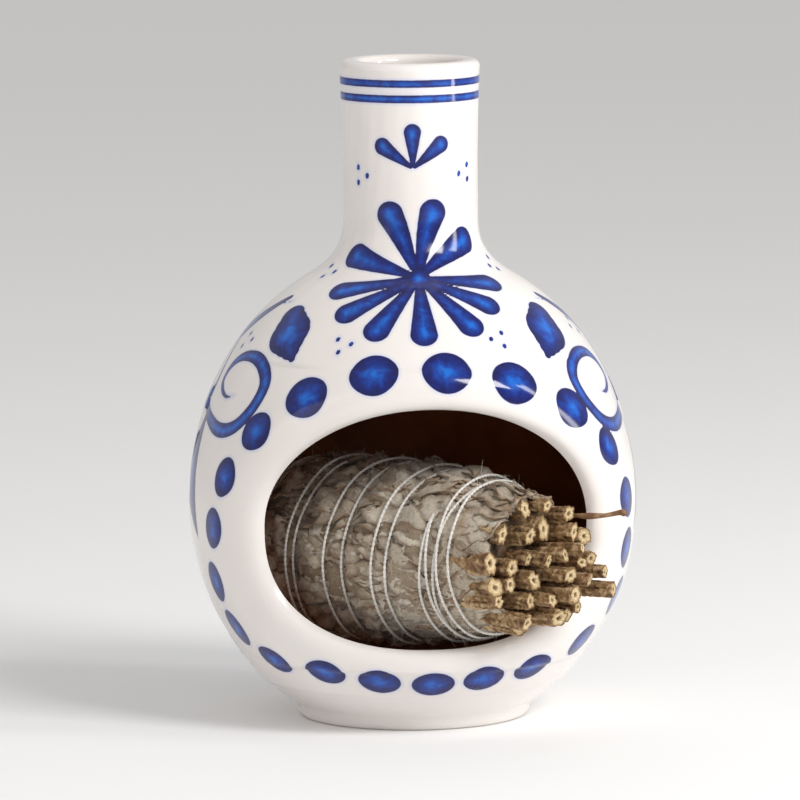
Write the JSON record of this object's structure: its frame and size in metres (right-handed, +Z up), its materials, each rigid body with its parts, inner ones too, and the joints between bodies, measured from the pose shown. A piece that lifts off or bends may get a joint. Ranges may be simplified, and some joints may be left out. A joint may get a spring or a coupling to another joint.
{
  "type": "smudge stick burner",
  "caption": "Small chimney-necked ceramic burner with a wide oval front mouth, painted petals and dots, holding a string-tied bundle of dried sage.",
  "frame": {"origin": "centre of the foot's flat resting face, on the neck's axis", "axes": "+Z up the neck, the mouth faces -Y, +X to the right seen from the front"},
  "size_m": [0.1016, 0.1037, 0.15],
  "materials": {
    "glazed_pot": "glossy white glaze with brushed cobalt decoration",
    "sage_leaf": "dry velvety leaf",
    "sage_stem": "dry bark with pale cut ends",
    "cotton": "twisted cotton thread"
  },
  "bodies": {
    "pot": {"pot_body": "glazed_pot"},
    "sage_bundle": {"leaf_bundle": "sage_leaf", "stem_01": "sage_stem", "stem_02": "sage_stem", "stem_03": "sage_stem", "stem_04": "sage_stem", "stem_05": "sage_stem", "stem_06": "sage_stem", "stem_07": "sage_stem", "stem_08": "sage_stem", "stem_09": "sage_stem", "stem_10": "sage_stem", "stem_11": "sage_stem", "stem_12": "sage_stem", "stem_13": "sage_stem", "stem_14": "sage_stem", "stem_15": "sage_stem", "stem_16": "sage_stem", "stem_17": "sage_stem", "stem_18": "sage_stem", "stem_19": "sage_stem", "stem_20": "sage_stem", "stem_21": "sage_stem", "stem_22": "sage_stem", "stem_23": "sage_stem", "stem_24": "sage_stem", "stem_25": "sage_stem", "stem_26": "sage_stem", "stem_27": "sage_stem", "stem_28": "sage_stem", "stem_29": "sage_stem", "stem_30": "sage_stem", "stem_31": "sage_stem", "stem_32": "sage_stem", "loose_twig": "sage_stem", "string_out": "cotton", "string_back": "cotton"}
  },
  "joints": [
    {"name": "bundle_slide", "type": "slide", "parent": "pot", "child": "sage_bundle", "axis": [0.4411, -0.8622, 0.2491], "range_m": [0, 0.09]}
  ]
}
